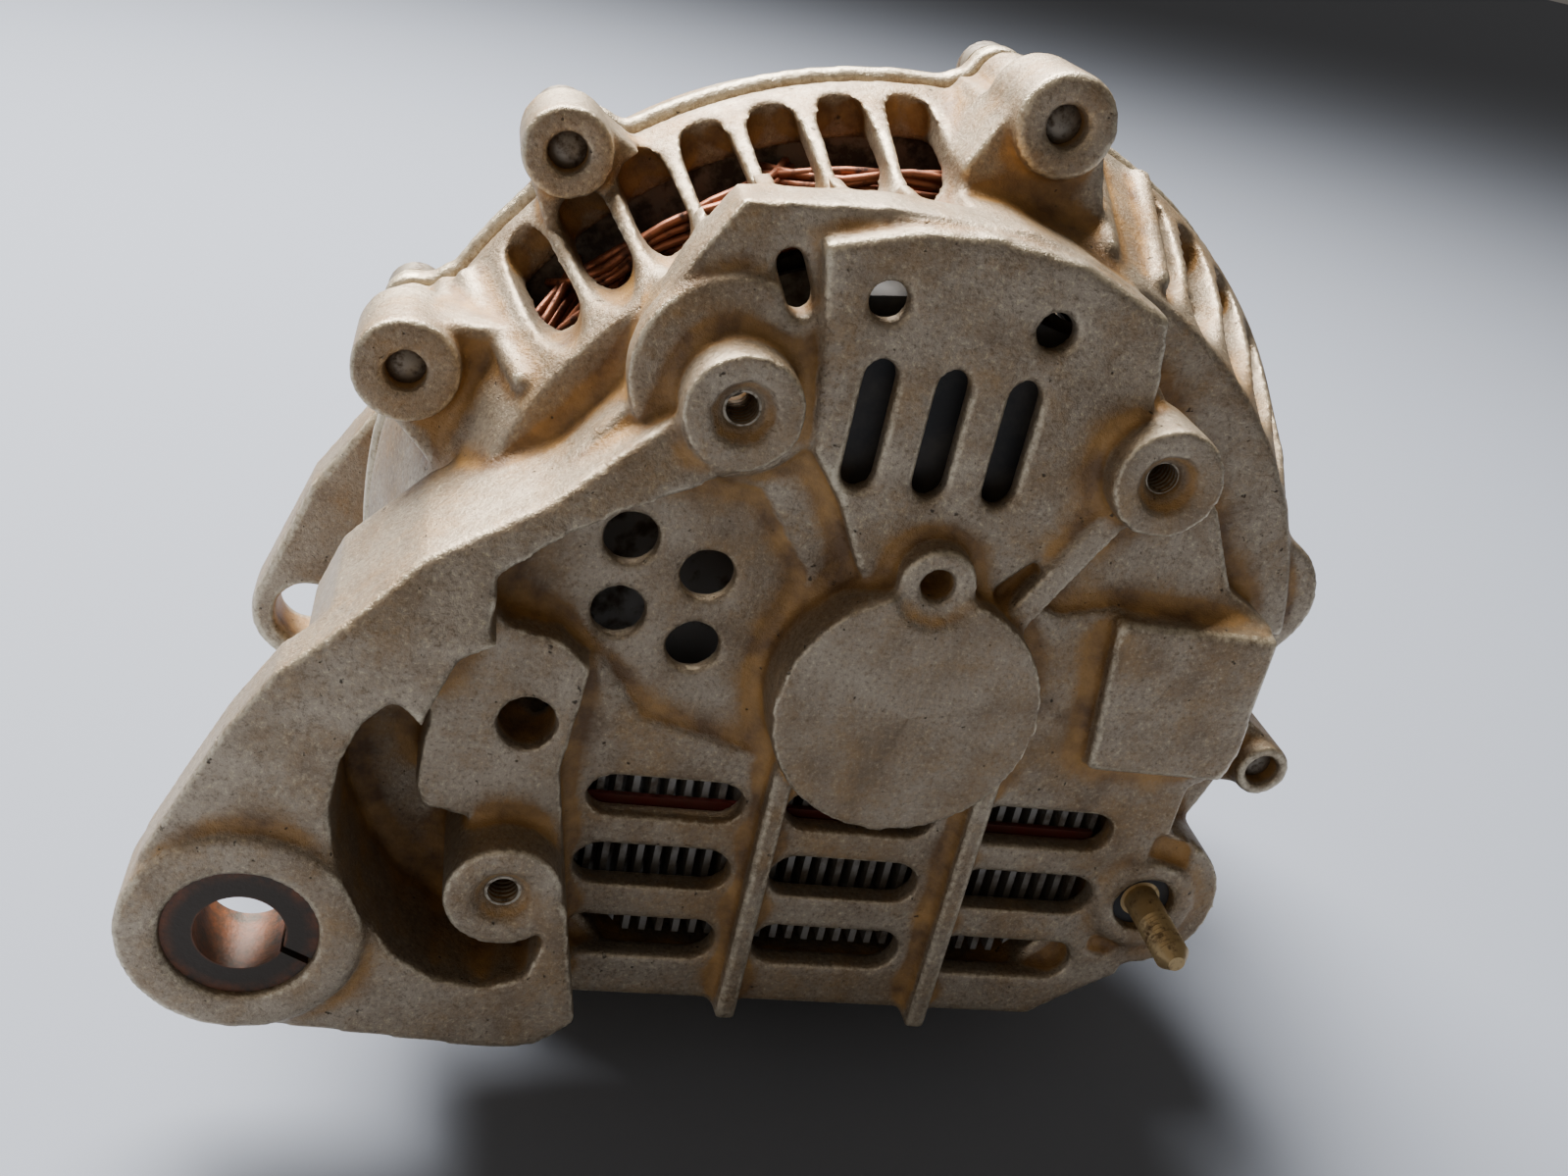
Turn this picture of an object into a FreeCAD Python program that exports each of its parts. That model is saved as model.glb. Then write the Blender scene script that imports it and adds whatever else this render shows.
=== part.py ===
"""Car alternator: rear and front brackets, stator, claw-pole rotor, bearings, brushes,
regulator, rectifier, pulley and fasteners.

Frame: millimetres. The origin is the centre of the closed flat face of the rear bearing
boss. +Y runs along the shaft from the rear towards the pulley, +Z is up, +X is the side
of the B+ terminal. Radii are measured from the shaft axis, the line x = 0, z = 0.
"""
import FreeCAD, Part
import Sketcher
import math
import os
import re

doc = FreeCAD.newDocument("alternator")

# ---------------------------------------------------------------- driving sizes
SIZES = {
    # depth levels of the rear bracket, along Y
    "boss_face": 0.0, "foot_face": -6.0, "arm_face": -4.5, "boss_c_face": -4.0,
    "regulator_face": 5.0, "plateau_face": 3.0, "rib_face": 5.0, "grille_face": 8.0,
    "cluster_face": 9.0, "wall_inside": 11.0, "shoulder_start": 16.5, "shoulder_end": 29.0,
    "flare_end": 44.0,
    "rear_rim_end": 46.0, "stator_start": 43.0, "stator_end": 71.0,
    # rear bracket radii and sections
    "bearing_boss_radius": 16.8, "bearing_boss_end": 20.0, "shoulder_radius": 56.0,
    "corner_radius": 61.5,
    "rear_rim_radius": 66.5, "rim_inside_radius": 60.0,
    "window_half_width": 3.2, "window_inner_radius": 56.3, "window_outer_radius": 62.7,
    "window_pitch": 7.75,
    "vent_slot_radius": 1.95, "vent_hole_radius": 2.3, "cluster_hole_radius": 3.3,
    "tapped_boss_radius": 6.85, "tapped_boss_c_radius": 7.2, "tap_radius": 2.1,
    "tap_depth": 16.0, "countersink_radius": 3.6, "countersink_depth": 1.4,
    "cover_screw_boss_radius": 4.8, "cover_screw_radius": 2.1,
    # pivot foot
    "foot_x": -74.7, "foot_z": -34.4, "foot_radius": 14.0, "foot_end": 5.0,
    "bush_seat_radius": 8.95, "bush_radius": 8.9, "bush_bore_radius": 5.25,
    "bush_start": -5.0, "bush_end": 5.0,
    "front_foot_start": 72.0, "front_foot_end": 82.0, "front_foot_radius": 9.0,
    # through bolts
    "bolt_circle": 68.5, "bolt_radius": 2.45, "bolt_hole_radius": 2.5,
    "bolt_seat": 53.0, "bolt_head_height": 3.2, "bolt_head_radius": 4.0, "ear_depth": 14.0,
    "slim_ear_radius": 4.3,
    # front bracket
    "front_rim_start": 48.5, "front_rim_radius": 67.5, "front_wall_inside": 84.0,
    "front_wall_outside": 88.0, "front_boss_radius": 29.5, "front_boss_end": 100.0,
    "adjuster_x": 72.3, "adjuster_z": -23.5, "adjuster_radius": 10.0, "adjuster_tap": 3.4,
    # stator
    "stator_radius": 60.5, "stator_bore": 46.9, "slot_root_radius": 55.0,
    "coil_inner": 49.0, "coil_outer": 56.5, "coil_rear_start": 30.5, "coil_front_end": 82.0,
    # rotor
    "shaft_rear_radius": 4.0, "shaft_start": 4.6, "shaft_ring_radius": 6.0,
    "shaft_radius": 8.5, "thread_radius": 8.0, "shaft_end": 139.0,
    "pole_radius": 46.5, "pole_rear_start": 39.2, "pole_front_end": 74.8,
    "pole_disc": 12.0, "core_radius": 22.0, "rotor_middle": 57.0,
    "fan_plate": 1.2, "fan_blade": 3.6, "fan_radius": 45.0,
    "slip_ring_radius": 7.6, "slip_ring_sleeve": 6.6,
    "slip_ring_a_start": 21.0, "slip_ring_b_start": 29.5, "slip_ring_width": 6.0,
    # bearings
    "rear_bearing_start": 4.6, "rear_bearing_width": 14.0, "rear_bearing_radius": 11.5,
    "front_bearing_start": 84.0, "front_bearing_width": 14.0, "front_bearing_radius": 23.5,
    # brushes
    "brush_width": 4.4, "brush_depth": 5.0, "brush_length": 13.0, "brush_gap": 0.05,
    "brush_a_middle": 24.0, "brush_b_middle": 32.5, "channel_slack": 0.15,
    "holder_top": 34.0, "spring_top": 32.0,
    # B+ terminal
    "stud_x": 44.5, "stud_z": -31.0, "stud_radius": 2.4, "stud_hole_radius": 4.3,
    "stud_shank_radius": 2.9, "stud_shoulder": 8.8,
    "stud_tip": -4.9, "terminal_lobe_radius": 11.3, "terminal_ring_radius": 7.2,
    # pulley
    "pulley_start": 102.5, "pulley_end": 126.0, "pulley_radius": 30.0,
    "pulley_root_radius": 27.2, "rib_pitch": 3.56,
}

sheet = doc.addObject("Spreadsheet::Sheet", "Sizes")
for row, (alias, number) in enumerate(SIZES.items(), start=1):
    sheet.set("A%d" % row, alias)
    sheet.set("B%d" % row, str(number))
    sheet.setAlias("B%d" % row, alias)
doc.recompute()


def bound(formula):
    """A formula of size names, written the way an expression names the sheet's cells."""
    return re.sub(r"[a-z][a-z_]*[a-z]", lambda word: "Sizes." + word.group(0), str(formula))


def value(formula):
    """The number that a formula of size names gives."""
    return float(sheet.evalExpression(bound(formula)))


def is_bound(formula):
    return isinstance(formula, str)


# ---------------------------------------------------------------- sketch helpers
nodes = []


def piece(name):
    """A new body, which becomes one node of the assembly."""
    body = doc.addObject("PartDesign::Body", name)
    body.Label = name
    nodes.append(body)
    return body


def sketch_on(body, role, depth=0):
    """A sketch on an origin plane; on XZ_Plane it lies at the given Y depth."""
    sketch = body.newObject("Sketcher::SketchObject", body.Name + "_sketch")
    support = [plane for plane in body.Origin.OriginFeatures if plane.Role == role]
    sketch.AttachmentSupport = [(support[0], "")]
    sketch.MapMode = "FlatFace"
    if role == "XZ_Plane":
        if is_bound(depth):
            sketch.setExpression("AttachmentOffset.Base.z", "-(%s)" % bound(depth))
        else:
            offset = FreeCAD.Vector(0, 0, -depth)
            sketch.AttachmentOffset = FreeCAD.Placement(offset, FreeCAD.Rotation())
    return sketch


def point_rules(geometry, position, across, up):
    """Rules that hold a point at its distances from the origin, with their formulas."""
    rules = []
    for kind, axis, formula in (("DistanceX", -2, across), ("DistanceY", -1, up)):
        number = value(formula)
        if abs(number) < 1e-9:
            rule = Sketcher.Constraint("PointOnObject", geometry, position, axis)
            rules.append((rule, 0))
        else:
            rule = Sketcher.Constraint(kind, -1, 1, geometry, position, number)
            rules.append((rule, formula))
    return rules


def apply_rules(sketch, rules):
    """Adds the rules together, then binds each formula to its rule."""
    first = sketch.ConstraintCount
    sketch.addConstraint([rule for rule, formula in rules])
    for index, (rule, formula) in enumerate(rules):
        if is_bound(formula):
            sketch.setExpression("Constraints[%d]" % (first + index), bound(formula))


def draw_polygon(sketch, points):
    corners = [FreeCAD.Vector(value(across), value(up), 0) for across, up in points]
    first = sketch.GeometryCount
    count = len(corners)
    edges = []
    rules = []
    for index, (across, up) in enumerate(points):
        following = (index + 1) % count
        edges.append(Part.LineSegment(corners[index], corners[following]))
        rules.append((Sketcher.Constraint(
            "Coincident", first + index, 2, first + following, 1), 0))
        rules += point_rules(first + index, 1, across, up)
    sketch.addGeometry(edges, False)
    apply_rules(sketch, rules)


def draw_circle(sketch, across, up, radius):
    centre = FreeCAD.Vector(value(across), value(up), 0)
    circle = Part.Circle(centre, FreeCAD.Vector(0, 0, 1), value(radius))
    geometry = sketch.addGeometry(circle, False)
    size = Sketcher.Constraint("Radius", geometry, value(radius))
    apply_rules(sketch, point_rules(geometry, 3, across, up) + [(size, radius)])


def draw_slot(sketch, start, end, radius):
    """A round-ended slot between two arc centres."""
    normal = FreeCAD.Vector(0, 0, 1)
    first = FreeCAD.Vector(value(start[0]), value(start[1]), 0)
    last = FreeCAD.Vector(value(end[0]), value(end[1]), 0)
    reach = value(radius)
    turn = math.atan2(last.y - first.y, last.x - first.x)
    quarter = math.pi / 2
    side = FreeCAD.Vector(-math.sin(turn) * reach, math.cos(turn) * reach, 0)
    near = Part.ArcOfCircle(Part.Circle(first, normal, reach), turn + quarter, turn + 3 * quarter)
    far = Part.ArcOfCircle(Part.Circle(last, normal, reach), turn - quarter, turn + quarter)
    base = sketch.GeometryCount
    sketch.addGeometry([near, Part.LineSegment(first - side, last - side),
                        far, Part.LineSegment(last + side, first + side)], False)
    rules = []
    for index in range(4):
        following = base + (index + 1) % 4
        rules.append((Sketcher.Constraint("Tangent", base + index, 2, following, 1), 0))
    rules.append((Sketcher.Constraint("Equal", base, base + 2), 0))
    rules.append((Sketcher.Constraint("Radius", base, reach), radius))
    rules += point_rules(base, 3, start[0], start[1])
    rules += point_rules(base + 2, 3, end[0], end[1])
    apply_rules(sketch, rules)


def set_length(feature, start, end):
    """Length of a pad or pocket that runs in +Y between two depths."""
    feature.Length = value(end) - value(start)
    feature.setExpression("Length", "(%s) - (%s)" % (bound(end), bound(start)))


def pad(body, start, end, draw):
    """Adds material between two depths; draw puts the outline in the sketch."""
    sketch = sketch_on(body, "XZ_Plane", start)
    draw(sketch)
    feature = body.newObject("PartDesign::Pad", body.Name + "_pad")
    feature.Profile = sketch
    feature.Refine = False
    feature.Reversed = True
    set_length(feature, start, end)
    return feature


def pocket(body, start, end, draw):
    """Removes material between two depths."""
    sketch = sketch_on(body, "XZ_Plane", start)
    draw(sketch)
    feature = body.newObject("PartDesign::Pocket", body.Name + "_pocket")
    feature.Profile = sketch
    feature.Refine = False
    set_length(feature, start, end)
    return feature


def turned(body, points, cut=False):
    """A profile of (radius, depth) points turned round the shaft axis."""
    sketch = sketch_on(body, "XY_Plane")
    draw_polygon(sketch, points)
    kind = "PartDesign::Groove" if cut else "PartDesign::Revolution"
    feature = body.newObject(kind, body.Name + "_turned")
    feature.Profile = sketch
    feature.Refine = False
    feature.ReferenceAxis = (sketch, ["V_Axis"])
    feature.Angle = 360.0
    return feature


def repeat_round(body, features, count, sweep):
    """Repeats features round the shaft axis over the swept angle."""
    axis = [line for line in body.Origin.OriginFeatures if line.Role == "Y_Axis"][0]
    pattern = body.newObject("PartDesign::PolarPattern", body.Name + "_pattern")
    pattern.Originals = features
    pattern.Refine = False
    pattern.Axis = (axis, [""])
    pattern.Angle = sweep
    pattern.Occurrences = count
    body.Tip = pattern
    return pattern


def polygon(*points):
    return lambda sketch: draw_polygon(sketch, points)


def circles(*rings):
    def draw(sketch):
        for across, up, radius in rings:
            draw_circle(sketch, across, up, radius)
    return draw


def slots(*runs):
    def draw(sketch):
        for start, end, radius in runs:
            draw_slot(sketch, start, end, radius)
    return draw


def ring(name, inner, outer, start, end):
    """A plain ring about the shaft axis, as its own node."""
    body = piece(name)
    turned(body, [(inner, start), (outer, start), (outer, end), (inner, end)])
    return body


def polar(radius, degrees):
    """The (x, z) point at a radius and an angle from +X towards +Z."""
    return (radius * math.cos(math.radians(degrees)), radius * math.sin(math.radians(degrees)))


# ---------------------------------------------------------------- outlines, (x, z)
# Raised plan of the rear housing, walked clockwise from the top left.
HOUSING_OUTLINE = [
    (-30.5, 56.5), (-14.0, 58.5), (2.0, 58.3), (10.0, 56.3), (19.5, 52.0), (21.0, 44.5),
    (30.0, 34.0), (36.0, 28.0), (41.5, 17.5), (48.5, 13.5), (48.5, -9.0), (45.0, -11.7),
    (45.0, -44.0), (39.0, -48.0), (33.0, -52.5), (-36.0, -52.5), (-52.0, -40.0),
    (-57.0, -20.0), (-55.0, 14.0), (-46.5, 22.0), (-39.0, 32.0), (-38.5, 40.0), (-35.0, 49.0),
]
# Room inside the raised housing.
HOUSING_ROOM = [
    (-27.0, 53.0), (-14.0, 55.3), (2.0, 55.1), (9.0, 53.3), (16.5, 49.8), (18.0, 43.5),
    (27.0, 32.0), (33.0, 26.0), (38.5, 15.5), (45.5, 11.0), (45.5, -7.0), (38.0, -12.0),
    (38.0, -37.0), (28.5, -47.5), (-28.5, -47.5), (-38.0, -37.0), (-38.0, -18.0),
    (-45.0, -10.0), (-48.0, -2.0), (-47.0, 12.0), (-42.0, 19.0), (-36.0, 29.0),
    (-35.5, 39.0), (-32.0, 47.5),
]
# Flat cover over the regulator, and its lower step on the left.
REGULATOR_FACE = [
    (-21.7, 54.0), (-12.0, 57.0), (-3.0, 57.8), (8.0, 56.5), (19.3, 52.0), (20.7, 44.6),
    (21.0, 30.0), (8.5, 16.0), (-9.0, 16.0), (-13.0, 24.0), (-17.5, 30.0), (-19.5, 43.0),
]
REGULATOR_ROOM = [
    (-17.0, 52.0), (-3.0, 54.5), (15.0, 51.0), (16.5, 46.0), (15.0, 24.5), (-13.0, 24.5),
    (-16.5, 30.0),
]
# Dark, lower field between the rib, boss B and the box on the right.
RIGHT_FIELD = [
    (11.5, 14.5), (21.7, 24.0), (31.0, 33.0), (36.5, 28.5), (42.0, 18.5), (48.5, 14.0),
    (26.0, 14.0), (19.0, 12.0),
]
# Flat side of the foot arm, which runs from boss A to the pivot foot.
ARM_PLATE = [
    (-31.5, 36.0), (-46.7, 22.6), (-59.1, 15.2), (-68.3, 5.4), (-73.2, 0.6), (-78.1, -7.4),
    (-82.0, -15.6), (-86.1, -24.4), (-88.5, -33.0), (-74.7, -48.4), (-58.3, -50.0),
    (-43.7, -51.4), (-38.2, -50.5), (-33.8, -46.4), (-36.0, -36.0), (-40.0, -14.0),
    (-38.0, 4.0), (-50.0, 8.5), (-51.2, 13.9), (-44.5, 19.1), (-38.0, 22.8), (-25.5, 29.0),
]
# The arm is deep only where it joins the drum.
ARM_ROOT = [
    (-34.8, 32.7), (-46.7, 22.6), (-59.1, 15.2), (-68.3, 5.4), (-71.0, -2.0), (-71.0, -18.0),
    (-66.0, -34.0), (-60.0, -42.0), (-58.3, -49.8), (-43.7, -51.2), (-38.2, -50.3),
    (-33.8, -46.4), (-36.0, -36.0), (-40.0, -14.0), (-38.0, 4.0),
    (-50.0, 8.5), (-51.2, 13.9), (-44.5, 19.1), (-38.0, 22.8), (-31.0, 26.0),
]
# Sunk field round the four-hole cluster.
CLUSTER_FIELD = [
    (-51.0, 7.8), (-48.8, 5.4), (-42.3, 4.0), (-36.6, -1.0), (-30.7, -8.6), (-15.1, -12.5),
    (-14.0, 14.0), (-21.5, 24.0), (-31.0, 25.2), (-38.0, 21.8), (-44.5, 18.1),
    (-50.6, 13.2),
]
# Deep crescent between the foot and boss C.
CRESCENT = [
    (-60.5, -1.6), (-63.5, -5.0), (-65.5, -10.4), (-66.0, -17.0), (-65.0, -23.0),
    (-62.0, -30.0), (-57.1, -37.1), (-52.0, -40.5), (-46.0, -41.5), (-41.0, -39.5),
    (-39.5, -34.0), (-39.5, -24.0), (-50.5, -21.5), (-55.5, -20.5), (-56.9, -17.5),
    (-56.2, -7.2), (-58.0, -3.5),
]
# Plateau that carries the single round hole above boss C, cut back from the arm's face.
PLATEAU_FIELD = [
    (-56.4, -2.3), (-54.0, 4.4), (-48.7, 7.4), (-40.0, 7.0), (-34.0, 4.0), (-33.0, -9.0),
    (-33.0, -30.0), (-50.5, -24.5), (-56.9, -19.5), (-57.6, -6.5),
]
FRONT_ARM = [
    (-59.0, 16.0), (-66.0, 4.0), (-76.0, -12.0), (-83.0, -31.0), (-76.2, -43.2),
    (-66.0, -40.0), (-52.0, -40.0), (-56.0, -20.0),
]
ADJUSTER_ARM = [(58.0, -2.0), (75.4, -14.0), (69.2, -33.0), (50.0, -33.0), (54.0, -18.0)]

# Ears on the rim: radius of the bolt line, angle, depth of the rear face, radius of the ear.
EARS = {
    "upper_left": (70.8, 132.2, 34.0, 5.6),
    "left": (value("bolt_circle"), 157.5, 24.0, 6.5),
    "top": (value("bolt_circle"), 84.2, 20.0, 6.2),
    "right": (value("bolt_circle"), 345.0, 24.0, 4.2),
    "bottom": (value("bolt_circle"), 235.0, 24.0, 6.3),
}


# ---------------------------------------------------------------- rear bracket
def make_rear_bracket():
    body = piece("rear_bracket")
    # drum: closed disc, sloping shoulder and rim, then everything that stands on it
    turned(body, [(0, "shoulder_start"), ("shoulder_radius", "shoulder_start"),
                  ("corner_radius", "shoulder_end"), ("rear_rim_radius", "flare_end"),
                  ("rear_rim_radius", "rear_rim_end"), (0, "rear_rim_end")])
    pad(body, "grille_face", "shoulder_start + 5", polygon(*HOUSING_OUTLINE))
    pad(body, "arm_face", "foot_end - 2", polygon(*ARM_PLATE))
    pad(body, "arm_face", "shoulder_start + 5.5", polygon(*ARM_ROOT))
    slope_arm(body)
    pad(body, "foot_face", "foot_end", circles(("foot_x", "foot_z", "foot_radius")))
    pad(body, "regulator_face", "grille_face + 1", polygon(*REGULATOR_FACE))
    pad(body, "grille_face", "shoulder_end",
        circles(("stud_x", "stud_z", "terminal_lobe_radius")))
    pad(body, "grille_face - 1", "grille_face + 1",
        circles(("stud_x", "stud_z", "terminal_ring_radius")))
    # box over the connector, and the round tower beside it
    pad(body, "regulator_face", "shoulder_start",
        polygon((25.5, 13.6), (48.0, 13.6), (48.5, -4.0), (47.5, -8.5), (28.0, -8.5)))
    pad(body, 20, "rear_rim_end", circles((51.5, 12.0, 9.5)))
    for radius, degrees, face, size in EARS.values():
        x, z = polar(radius, degrees)
        pad(body, face, min(face + value("ear_depth"), value("rear_rim_end")),
            circles((x, z, size)))
        pad(body, face, "rear_rim_end", circles((x, z, min(size, value("slim_ear_radius")))))
        pad(body, face + 3, "rear_rim_end", ear_web(radius, degrees, size))
    # sunk fields are cut before the bosses that stand in them
    pocket(body, "arm_face - 1", "plateau_face", polygon(*PLATEAU_FIELD))
    pocket(body, "arm_face - 1", "cluster_face", polygon(*CLUSTER_FIELD))
    pocket(body, "arm_face - 1", "wall_inside + 2", polygon(*CRESCENT))
    pocket(body, "regulator_face - 1", "cluster_face + 0.5", polygon(*RIGHT_FIELD))
    # hollow of the drum and of the raised housing
    turned(body, [(0, "shoulder_start + 3"), ("shoulder_radius - 3", "shoulder_start + 3"),
                  ("corner_radius - 3.5", "shoulder_end + 2"), ("rim_inside_radius", "flare_end - 5"),
                  ("rim_inside_radius", "stator_start"), ("stator_radius", "stator_start"),
                  ("stator_radius", "rear_rim_end + 1"), (0, "rear_rim_end + 1")], cut=True)
    pocket(body, "wall_inside + 0.5", "shoulder_start + 4", polygon(*HOUSING_ROOM))
    pocket(body, "grille_face", "shoulder_start + 4", polygon(*REGULATOR_ROOM))
    # bosses
    pad(body, "boss_face", "bearing_boss_end", circles((0, 0, "bearing_boss_radius")))
    pad(body, "boss_face", "wall_inside", circles((-27.5, 35.6, "tapped_boss_radius")))
    pad(body, "grille_face - 1.5", "wall_inside", circles((-28.0, 37.0, 11.8)))
    pad(body, "boss_face", "wall_inside", circles((23.1, 34.2, "tapped_boss_radius")))
    pad(body, "boss_c_face", "wall_inside + 2", circles((-45.1, -28.0, "tapped_boss_c_radius")))
    pocket(body, "boss_face - 1", "boss_face + 1.2",
           circles((-0.4, 17.4, "cover_screw_boss_radius + 0.5")))
    pad(body, "boss_face + 1", "grille_face", circles((-0.4, 17.4, "cover_screw_boss_radius")))
    # ribs over the grille, the rib from the bearing boss to boss B
    pad(body, "rib_face", "grille_face + 1", polygon(
        (-13.3, -53.5), (-10.4, -53.5), (-10.4, -11.0), (-13.3, -11.0)))
    pad(body, "rib_face", "grille_face + 1", polygon(
        (14.2, -53.5), (17.1, -53.5), (17.1, -8.0), (14.2, -8.0)))
    pad(body, "rib_face - 1.5", "cluster_face + 2", polygon(
        (9.5, 13.0), (12.2, 10.6), (22.6, 29.0), (19.4, 30.2)))
    # drilled and cored holes
    pocket(body, "rear_bearing_start - 0.6", "bearing_boss_end + 1",
           circles((0, 0, "rear_bearing_radius")))
    for x, z, face in ((-27.5, 35.6, "boss_face"), (23.1, 34.2, "boss_face"),
                       (-45.1, -28.0, "boss_c_face")):
        pocket(body, face, "%s + tap_depth" % face, circles((x, z, "tap_radius")))
        pocket(body, face, "%s + countersink_depth" % face, circles((x, z, "countersink_radius")))
    pocket(body, "boss_face + 1", "boss_face + 7", circles((-0.4, 17.4, "cover_screw_radius")))
    pocket(body, "foot_face - 1", "shoulder_start + 6",
           circles(("foot_x", "foot_z", "bush_seat_radius")))
    pocket(body, "regulator_face - 4", "shoulder_start + 4",
           circles((-35.7, 15.2, "cluster_hole_radius"), (-25.9, 11.5, "cluster_hole_radius"),
                   (-35.7, 5.4, "cluster_hole_radius"), (-25.9, 1.7, "cluster_hole_radius"),
                   (-44.9, -7.6, "cluster_hole_radius + 0.2")))
    pocket(body, "regulator_face - 1", "wall_inside",
           circles((-13.2, 48.8, "vent_hole_radius"), (6.6, 48.3, "vent_hole_radius")))
    vent_slots = []
    for x in (-12.0, -3.4, 5.2):
        vent_slots.append(((x, 28.4), (x, 40.3), "vent_slot_radius"))
    pocket(body, "regulator_face - 1", "wall_inside", slots(*vent_slots))
    pocket(body, "regulator_face - 1", "shoulder_start + 4",
           slots(((-22.3, 46.6), (-24.2, 50.6), 1.6)))
    grille = []
    for x in (-25.4, 0.6, 26.4):
        for z, half in ((-20.2, 2.9), (-30.9, 3.1), (-42.3, 3.2)):
            grille.append(((x - 7.2, z), (x + 7.2, z), half))
    pocket(body, "rib_face + 2", "wall_inside + 1", slots(*grille))
    pocket(body, "foot_face", "shoulder_start", polygon(
        (-56.1, -21.3), (-53.0, -21.8), (-52.8, -26.8), (-54.3, -26.3)))
    pocket(body, "grille_face - 2", "shoulder_end + 2",
           circles(("stud_x", "stud_z", "stud_hole_radius")))
    pocket(body, "grille_face - 2", "grille_face + 1.6", polygon(
        (43.2, -19.5), (49.6, -20.9), (49.4, -25.0), (42.9, -23.2)))
    pocket(body, "grille_face - 2", "grille_face + 1.6", polygon(
        (38.8, -37.3), (43.8, -38.4), (42.4, -41.0), (38.8, -40.2)))
    # connector mouth opens through the right-hand wall of the box
    pocket(body, "wall_inside", "shoulder_start + 3", polygon(
        (44.0, 8.6), (63.0, 8.6), (63.0, -5.6), (44.0, -5.6)))
    for radius, degrees, face, size in EARS.values():
        x, z = polar(radius, degrees)
        pocket(body, face - 1, "rear_rim_end + 1", circles((x, z, "bolt_hole_radius")))
    # cooling windows round the shoulder, in three runs
    for first, count in ((96.0, 7), (25.5, 6), (271.0, 8)):
        window = cooling_window(body, first)
        repeat_round(body, [window], count, -(count - 1) * value("window_pitch"))


def slope_arm(body):
    """Trims the arm's face so that it sinks below boss A where it meets it."""
    sketch = sketch_on(body, "YZ_Plane")
    draw_polygon(sketch, [(-9.0, 6.0), ("arm_face - 0.1", 6.0), (2.2, 33.0), (2.2, 40.0),
                          (-9.0, 40.0)])
    trim = body.newObject("PartDesign::Pocket", body.Name + "_slope")
    trim.Profile = sketch
    trim.Refine = False
    trim.Midplane = True
    trim.Length = 160.0


def ear_web(radius, degrees, size):
    """Four-cornered web that widens from an ear towards the drum."""
    spread = math.degrees(size / radius)
    return polygon(polar(radius, degrees - spread), polar(radius, degrees + spread),
                   polar(58.0, degrees + 2.1 * spread), polar(58.0, degrees - 2.1 * spread))


def cooling_window(body, degrees):
    """One round-ended radial slot through the shoulder and the flare behind it."""
    inner = polar(value("window_inner_radius + window_half_width"), degrees)
    outer = polar(value("window_outer_radius"), degrees)
    return pocket(body, "shoulder_start - 0.5", "flare_end - 2",
                  slots((inner, outer, "window_half_width")))


make_rear_bracket()


# ---------------------------------------------------------------- front bracket and stator
def make_front_bracket():
    body = piece("front_bracket")
    turned(body, [("shaft_radius + 3.5", "front_boss_end"), ("front_boss_radius", "front_boss_end"),
                  ("front_boss_radius", "front_wall_outside"), (54, "front_wall_outside"),
                  (59, "front_wall_outside - 2"), (62.4, 76), (63.6, 52.5),
                  ("front_rim_radius", 51.5), ("front_rim_radius", "front_rim_start"),
                  ("stator_radius", "front_rim_start"), ("stator_radius", "stator_end"),
                  (59.4, "stator_end"), (59.4, 75), (53.5, "front_wall_inside"),
                  ("front_bearing_radius", "front_wall_inside"),
                  ("front_bearing_radius", "front_wall_inside + front_bearing_width"),
                  ("shaft_radius + 3.5", "front_wall_inside + front_bearing_width")])
    pad(body, "front_foot_start", "front_foot_end",
        circles(("foot_x", "foot_z", "front_foot_radius")))
    pad(body, "front_foot_start", "front_foot_end", polygon(*FRONT_ARM))
    pad(body, 78, 90, circles(("adjuster_x", "adjuster_z", "adjuster_radius")))
    pad(body, 78, "front_wall_outside", polygon(*ADJUSTER_ARM))
    for radius, degrees, face, size in EARS.values():
        x, z = polar(radius, degrees)
        pad(body, "front_rim_start", "bolt_seat",
            circles((x, z, min(size, value("slim_ear_radius")))))
        pad(body, "front_rim_start", "bolt_seat - 1", ear_web(radius, degrees, size))
    # the arms are trimmed back to the stator seat
    turned(body, [(30, "front_rim_start - 1"), ("stator_radius", "front_rim_start - 1"),
                  ("stator_radius", "stator_end"), (59.4, "stator_end"), (59.4, 75),
                  (53.5, "front_wall_inside"), (30, "front_wall_inside")], cut=True)
    pocket(body, "front_foot_start - 1", "front_foot_end + 1",
           circles(("foot_x", "foot_z", "bush_bore_radius")))
    pocket(body, 77, 91, circles(("adjuster_x", "adjuster_z", "adjuster_tap")))
    for radius, degrees, face, size in EARS.values():
        x, z = polar(radius, degrees)
        pocket(body, "front_rim_start - 1", "bolt_seat + 1", circles((x, z, "bolt_hole_radius")))
    for degrees in (45, 135, 225, 315):
        x, z = polar(26.4, degrees)
        pocket(body, "front_wall_inside", "front_wall_inside + 9", circles((x, z, 1.7)))
    inner = polar(37.0, 90)
    outer = polar(50.0, 90)
    vent = pocket(body, "front_wall_inside - 1", "front_wall_outside + 1",
                  slots((inner, outer, 4.2)))
    repeat_round(body, [vent], 15, 360)


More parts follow.
